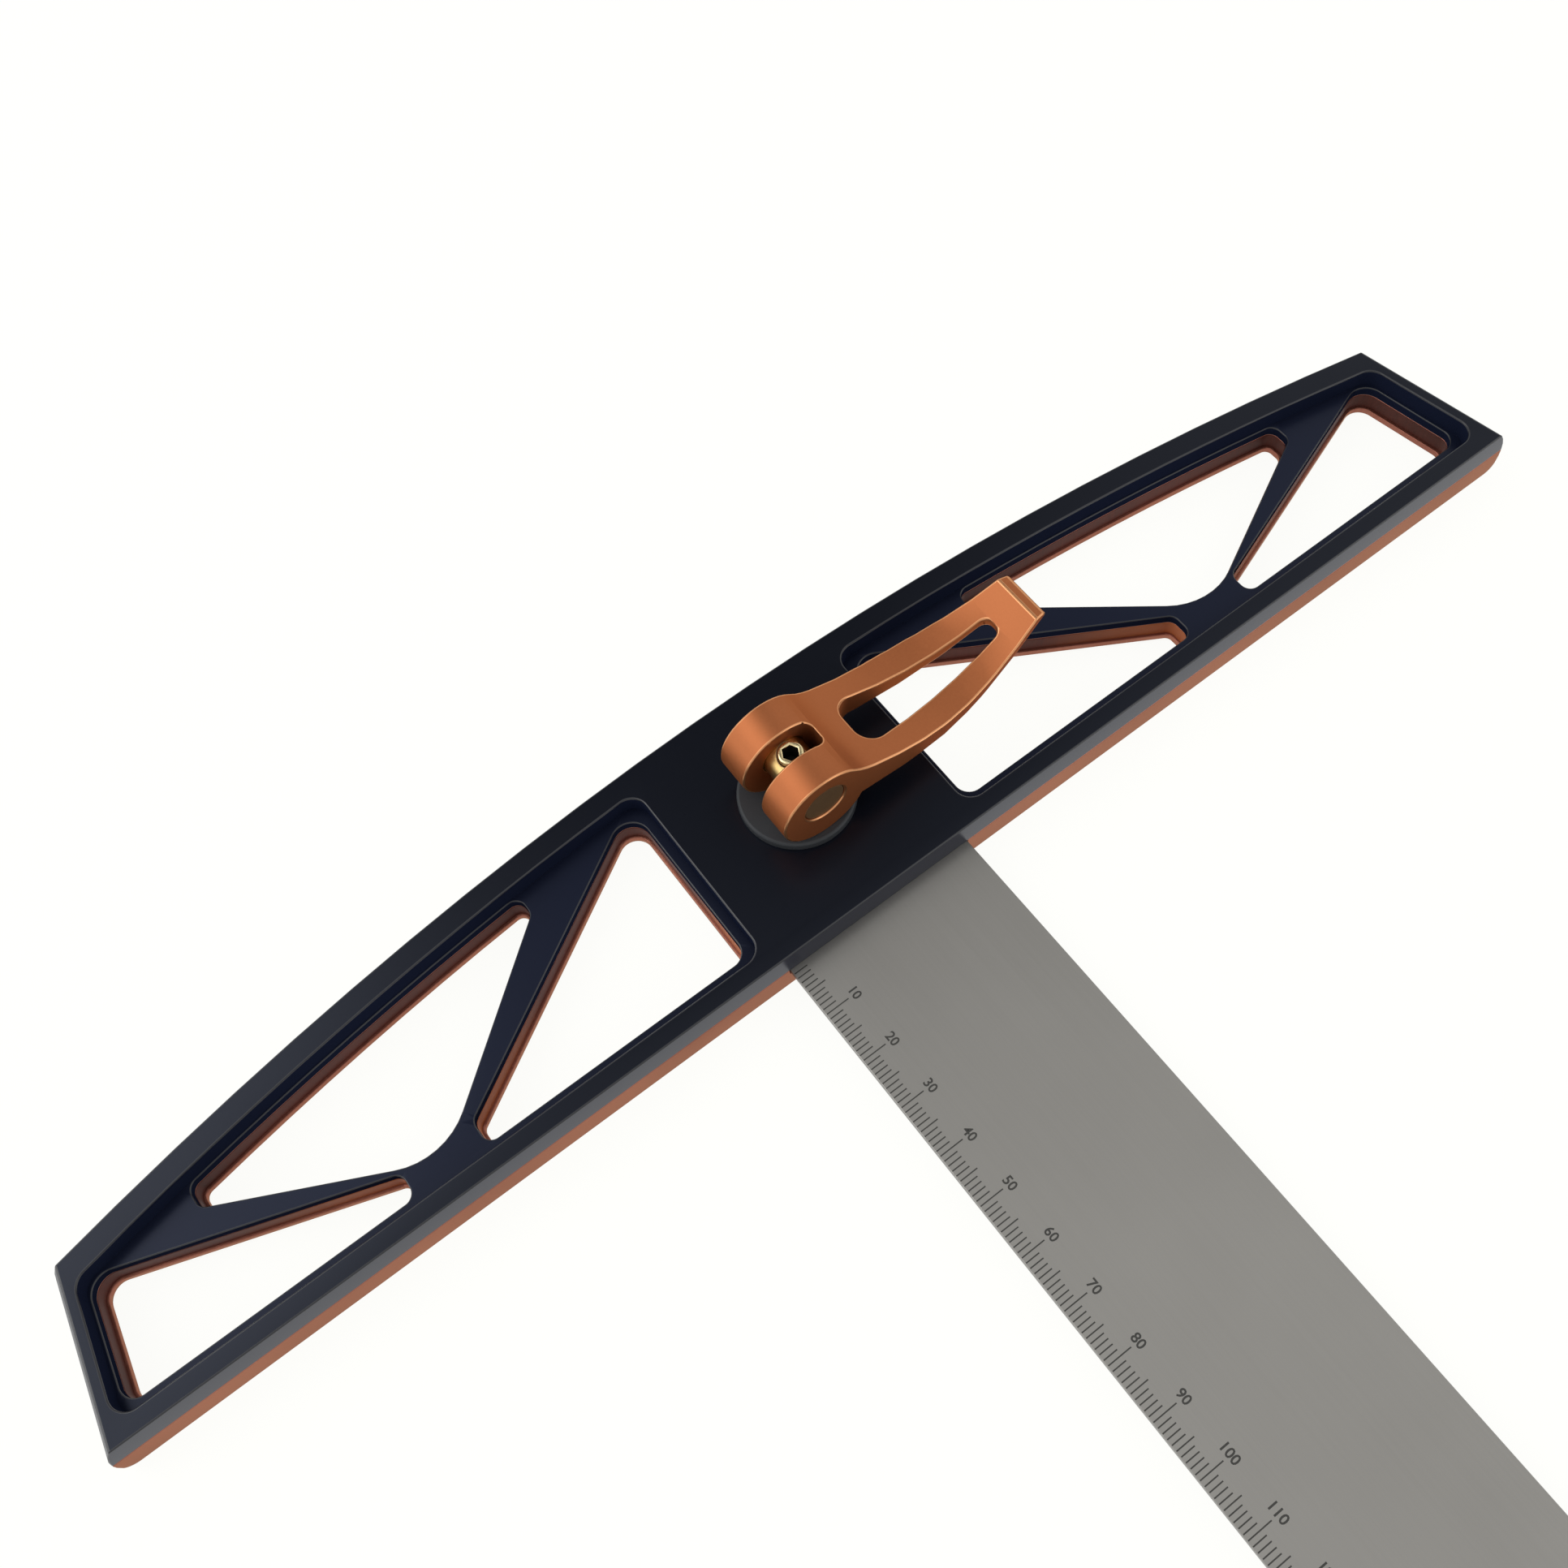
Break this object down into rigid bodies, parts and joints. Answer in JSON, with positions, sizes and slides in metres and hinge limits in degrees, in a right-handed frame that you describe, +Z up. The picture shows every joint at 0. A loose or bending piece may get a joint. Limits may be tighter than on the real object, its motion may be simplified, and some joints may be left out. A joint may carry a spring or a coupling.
{
  "type": "adjustable t-square",
  "caption": "Flat T-square with a trussed two-plate head, a graduated steel blade that slides through it and a swivelling cam lever that locks the blade.",
  "frame": {"origin": "on the head's resting underside, on the axis of the clamp stud", "axes": "+X along the head's working edge, +Y from the blade towards the bowed back of the head, +Z up through the lever"},
  "size_m": [0.2984, 0.353, 0.0309],
  "materials": {
    "black_anodised": "satin black anodised",
    "copper_anodised": "satin copper anodised",
    "lever_copper": "fine blasted copper anodised",
    "blade_steel": "satin",
    "washer_black": "satin black",
    "stud_steel": "yellow zinc plated",
    "barrel_brass": "turned",
    "plain_steel": "ground",
    "screw_black": "black oxide"
  },
  "bodies": {
    "head": {"top_plate": "black_anodised", "base_plate": "copper_anodised", "cam_washer": "washer_black", "plate_screw_1": "screw_black", "plate_screw_2": "screw_black", "plate_screw_3": "screw_black", "plate_screw_4": "screw_black", "plate_screw_5": "screw_black", "plate_screw_6": "screw_black", "dowel_pin_1": "plain_steel", "dowel_pin_2": "plain_steel", "dowel_pin_3": "plain_steel", "dowel_pin_4": "plain_steel"},
    "rule": {"blade": "blade_steel"},
    "shoe": {"clamp_shoe": "plain_steel"},
    "stud": {"clamp_stud": "stud_steel", "barrel_nut": "barrel_brass"},
    "lever": {"lever": "lever_copper"}
  },
  "joints": [
    {"name": "blade_slide", "type": "slide", "parent": "head", "child": "rule", "axis": [0, -1, 0], "range_m": [-0.012, 0.012]},
    {"name": "clamp_drop", "type": "slide", "parent": "head", "child": "shoe", "axis": [0, 0, 1], "range_m": [-0.00052, 0]},
    {"name": "lever_swivel", "type": "hinge", "parent": "shoe", "child": "stud", "pos_m": [0, 0, 0.02365], "axis": [0, 0, 1], "continuous": true},
    {"name": "lever_flip", "type": "hinge", "parent": "stud", "child": "lever", "pos_m": [0, 0, 0.02365], "axis": [0, -1, 0], "range_deg": [0, 180]}
  ],
  "couplings": [
    {"joint": "clamp_drop", "follows": "lever_flip", "m_per_rad": -0.00015915}
  ]
}
